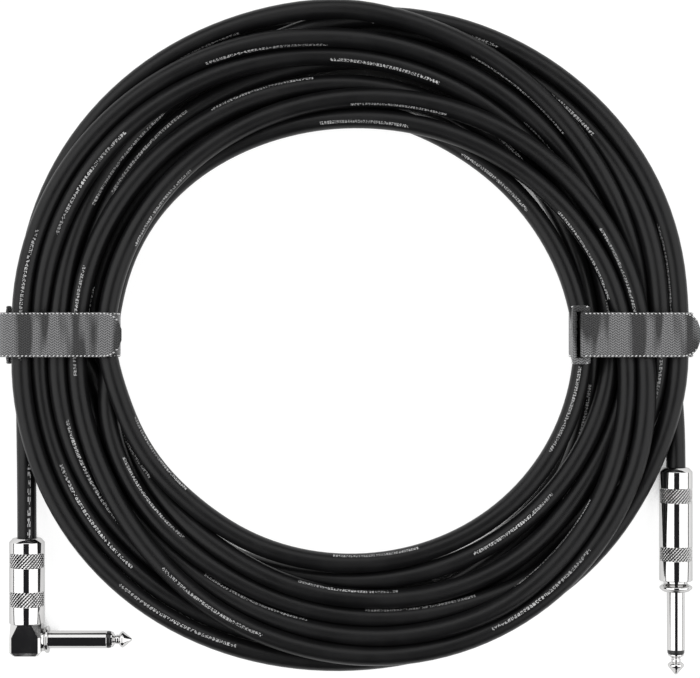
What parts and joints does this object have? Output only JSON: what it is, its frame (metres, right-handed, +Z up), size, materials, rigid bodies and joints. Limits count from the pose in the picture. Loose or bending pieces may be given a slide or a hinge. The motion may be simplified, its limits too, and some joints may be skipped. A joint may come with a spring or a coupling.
{
  "type": "instrument cable",
  "caption": "Coiled black instrument cable with a straight and a right-angle mono plug, held by two hook-and-loop ties.",
  "frame": {"origin": "middle of the coil on the table it lies on", "axes": "+Z up from the table, +Y from the plugs' side towards the far side of the coil, +X from the right-angle plug's side to the straight plug's side"},
  "size_m": [0.2514, 0.2436, 0.0192],
  "materials": {
    "cable_jacket": "satin black flexible PVC",
    "strap": "grey woven hook-and-loop tape, twill weave",
    "plated_metal": "bright nickel-chrome plating, diagonal knurling",
    "insulator": "glossy black insulating plastic",
    "liner": "matt dark insulating sleeve",
    "rod_tube": "white insulating tube",
    "lug": "tinned brass solder lugs",
    "core": "translucent white core insulation",
    "copper": "bare copper strands",
    "solder": "bright tin solder"
  },
  "bodies": {
    "root": {"cable_coil": "cable_jacket", "ra_cable_tail": "cable_jacket", "straight_cable_tail": "cable_jacket", "left_tie_band": "strap", "right_tie_band": "strap", "ra_elbow": "plated_metal", "ra_collar": "plated_metal", "ra_sleeve": "plated_metal", "ra_rod_tube": "rod_tube", "ra_tip_rod": "plated_metal", "ra_tip_ring": "insulator", "ra_rear_washer": "insulator", "ra_tip_lug": "lug", "ra_ground_lug": "lug", "ra_core": "core", "ra_conductor": "copper", "ra_shield": "copper", "ra_tip_solder": "solder", "ra_ground_solder": "solder"},
    "straight_cover": {"straight_barrel": "plated_metal", "straight_liner": "liner"},
    "straight_front": {"straight_collar": "plated_metal", "straight_sleeve": "plated_metal", "straight_rod_tube": "rod_tube", "straight_tip_rod": "plated_metal", "straight_tip_ring": "insulator", "straight_rear_washer": "insulator", "straight_tip_lug": "lug", "straight_ground_lug": "lug", "straight_jacket_end": "cable_jacket", "straight_core": "core", "straight_conductor": "copper", "straight_shield": "copper", "straight_tip_solder": "solder", "straight_ground_solder": "solder"},
    "ra_carrier": {"ra_liner": "liner"},
    "ra_cover": {"ra_barrel": "plated_metal"},
    "left_flap": {"left_tie_flap": "strap"},
    "right_flap": {"right_tie_flap": "strap"}
  },
  "joints": [
    {"name": "straight_barrel_turn", "type": "hinge", "parent": "root", "child": "straight_cover", "pos_m": [0.1175, -0.0664, 0.0061], "axis": [0, 1, 0], "range_deg": [0, 3600]},
    {"name": "straight_front_draw", "type": "slide", "parent": "root", "child": "straight_front", "axis": [0, -1, 0], "range_m": [0, 0.01001]},
    {"name": "ra_barrel_slide", "type": "slide", "parent": "root", "child": "ra_carrier", "axis": [0, 1, 0], "range_m": [0, 0.01001]},
    {"name": "ra_barrel_turn", "type": "hinge", "parent": "ra_carrier", "child": "ra_cover", "pos_m": [-0.1178, -0.0868, 0.0064], "axis": [0, 1, 0], "range_deg": [0, 3600]},
    {"name": "left_flap_peel", "type": "hinge", "parent": "root", "child": "left_flap", "pos_m": [-0.1245, 0.0022, 0.0066], "axis": [0, -1, 0], "range_deg": [0, 95]},
    {"name": "right_flap_peel", "type": "hinge", "parent": "root", "child": "right_flap", "pos_m": [0.0833, 0.0022, 0.0168], "axis": [0, -1, 0], "range_deg": [0, 95]}
  ],
  "couplings": [
    {"joint": "straight_front_draw", "follows": "straight_barrel_turn", "m_per_rad": 0.00015915},
    {"joint": "ra_barrel_slide", "follows": "ra_barrel_turn", "m_per_rad": 0.00015915}
  ]
}
